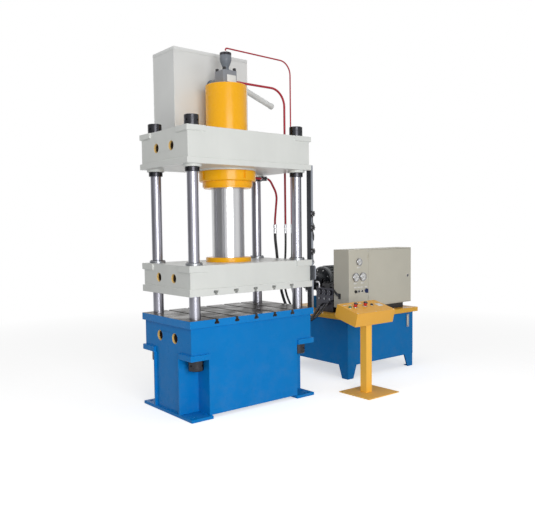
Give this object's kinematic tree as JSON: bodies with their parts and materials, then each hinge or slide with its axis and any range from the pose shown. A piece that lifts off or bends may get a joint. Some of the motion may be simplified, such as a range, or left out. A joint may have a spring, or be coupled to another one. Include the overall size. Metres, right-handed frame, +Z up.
{
  "type": "hydraulic press",
  "caption": "Four-column down-stroking hydraulic press with a T-slotted table and platen, a separate oil power unit with cabinet, and an operator pedestal.",
  "frame": {"origin": "on the floor at the centre of the four columns, which is the centre of the anchor hole rectangle", "axes": "+X along the long side of the table towards the power unit, +Y to the back, away from the operator, +Z up along the ram and the columns"},
  "size_m": [3.254, 1.845, 3.355],
  "materials": {
    "blue_paint": "gloss enamel",
    "tank_blue": "gloss enamel",
    "white_paint": "gloss enamel",
    "yellow_paint": "gloss enamel",
    "tank_grey": "satin",
    "cabinet_beige": "textured powder coat",
    "valve_grey": "satin",
    "motor_grey": "satin",
    "pump_grey": "painted",
    "pipe_red": "gloss",
    "machined_steel": "machined, lightly oiled",
    "bright_steel": "zinc plated",
    "column_chrome": "hard chrome, ground",
    "black_nuts": "blackened",
    "bush_grey": "turned",
    "hose_rubber": "smooth cover",
    "black_plastic": "moulded",
    "gauge_clear": "clear window in a bright frame",
    "needle_black": "matt",
    "knob_blue": "moulded",
    "button_green": "moulded",
    "button_red": "moulded"
  },
  "bodies": {
    "frame": {"bed_frame": "blue_paint", "table_plate": "machined_steel", "crown": "white_paint", "columns": "column_chrome", "column_nuts": "black_nuts", "cylinder": "yellow_paint", "cylinder_nut": "yellow_paint", "gland_ring": "yellow_paint", "prefill_valve_body": "valve_grey", "prefill_valve_bonnet": "valve_grey", "prefill_valve_cap": "black_nuts", "prefill_pipe": "tank_grey", "upper_tank": "tank_grey", "upper_tank_lid": "tank_grey", "pilot_pipe": "pipe_red", "pressure_pipe": "pipe_red", "rod_side_pipe": "pipe_red", "pipe_fittings": "bright_steel", "pipe_clamp": "black_nuts", "pilot_hose": "hose_rubber", "pressure_hose": "hose_rubber", "rod_side_hose": "hose_rubber", "limit_rail": "bright_steel", "limit_switches": "black_plastic", "oil_tank": "tank_blue", "tank_lid": "yellow_paint", "level_gauge": "gauge_clear", "filler_breather": "bright_steel", "motor_base": "blue_paint", "motor_housing": "motor_grey", "motor_fan_cover": "motor_grey", "bellhousing": "motor_grey", "pump": "pump_grey", "pump_pipes": "pipe_red", "manifold_block": "machined_steel", "solenoid_valves": "black_plastic", "cabinet_shell": "cabinet_beige", "control_gear": "black_plastic", "panel_instruments": "black_plastic", "pedestal": "yellow_paint", "console_box": "yellow_paint"},
    "platen": {"platen_box": "white_paint", "platen_plate": "white_paint", "guide_bushes": "bush_grey", "ram": "column_chrome", "ram_flange": "yellow_paint", "ram_flange_bolts": "black_nuts", "limit_striker": "bright_steel"},
    "rotor": {"motor_rotor": "bright_steel"},
    "door": {"cabinet_door": "cabinet_beige"},
    "lock": {"door_lock": "bright_steel"},
    "pressure_needle": {"gauge_needle": "needle_black"},
    "volt_needle": {"voltmeter_needle": "needle_black"},
    "amp_needle": {"ammeter_needle": "needle_black"},
    "selector": {"selector_knob": "black_plastic"},
    "isolator": {"isolator_knob": "knob_blue"},
    "start": {"start_button": "button_green"},
    "stop": {"stop_button": "button_red"},
    "press": {"press_button": "button_red"},
    "jog": {"jog_button": "black_plastic"}
  },
  "joints": [
    {"name": "platen_slide", "type": "slide", "parent": "frame", "child": "platen", "axis": [0, 0, 1], "range_m": [-0.18, 0.55]},
    {"name": "motor_spin", "type": "hinge", "parent": "frame", "child": "rotor", "pos_m": [1.7, 0.43, 1.03], "axis": [1, 0, 0], "continuous": true},
    {"name": "cabinet_door_hinge", "type": "hinge", "parent": "frame", "child": "door", "pos_m": [1.756, -0.206, 1], "axis": [0, 0, -1], "range_deg": [0, 110]},
    {"name": "door_lock_turn", "type": "hinge", "parent": "door", "child": "lock", "pos_m": [2.432, -0.2, 1.077], "axis": [0, 1, 0], "range_deg": [0, 90]},
    {"name": "gauge_needle_turn", "type": "hinge", "parent": "frame", "child": "pressure_needle", "pos_m": [1.5965, -0.222, 1.27], "axis": [0, 1, 0], "range_deg": [0, 270]},
    {"name": "voltmeter_needle_turn", "type": "hinge", "parent": "frame", "child": "volt_needle", "pos_m": [1.5425, -0.222, 1.104], "axis": [0, 1, 0], "range_deg": [0, 240]},
    {"name": "ammeter_needle_turn", "type": "hinge", "parent": "frame", "child": "amp_needle", "pos_m": [1.6545, -0.222, 1.104], "axis": [0, 1, 0], "range_deg": [0, 240]},
    {"name": "selector_turn", "type": "hinge", "parent": "frame", "child": "selector", "pos_m": [1.5425, -0.2, 0.947], "axis": [0, 1, 0], "range_deg": [-45, 45]},
    {"name": "isolator_turn", "type": "hinge", "parent": "frame", "child": "isolator", "pos_m": [1.7145, -0.2, 0.947], "axis": [0, 1, 0], "range_deg": [0, 90]},
    {"name": "start_button_travel", "type": "slide", "parent": "frame", "child": "start", "axis": [0, 0.2554, -0.9668], "range_m": [0, 0.006], "stiffness_N_per_m": 900, "springref_m": -0.003},
    {"name": "stop_button_travel", "type": "slide", "parent": "frame", "child": "stop", "axis": [0, 0.2554, -0.9668], "range_m": [0, 0.006], "stiffness_N_per_m": 900, "springref_m": -0.003},
    {"name": "press_button_travel", "type": "slide", "parent": "frame", "child": "press", "axis": [0, 0.2554, -0.9668], "range_m": [0, 0.006], "stiffness_N_per_m": 900, "springref_m": -0.003},
    {"name": "jog_button_travel", "type": "slide", "parent": "frame", "child": "jog", "axis": [0, 0.2554, -0.9668], "range_m": [0, 0.006], "stiffness_N_per_m": 900, "springref_m": -0.003}
  ]
}
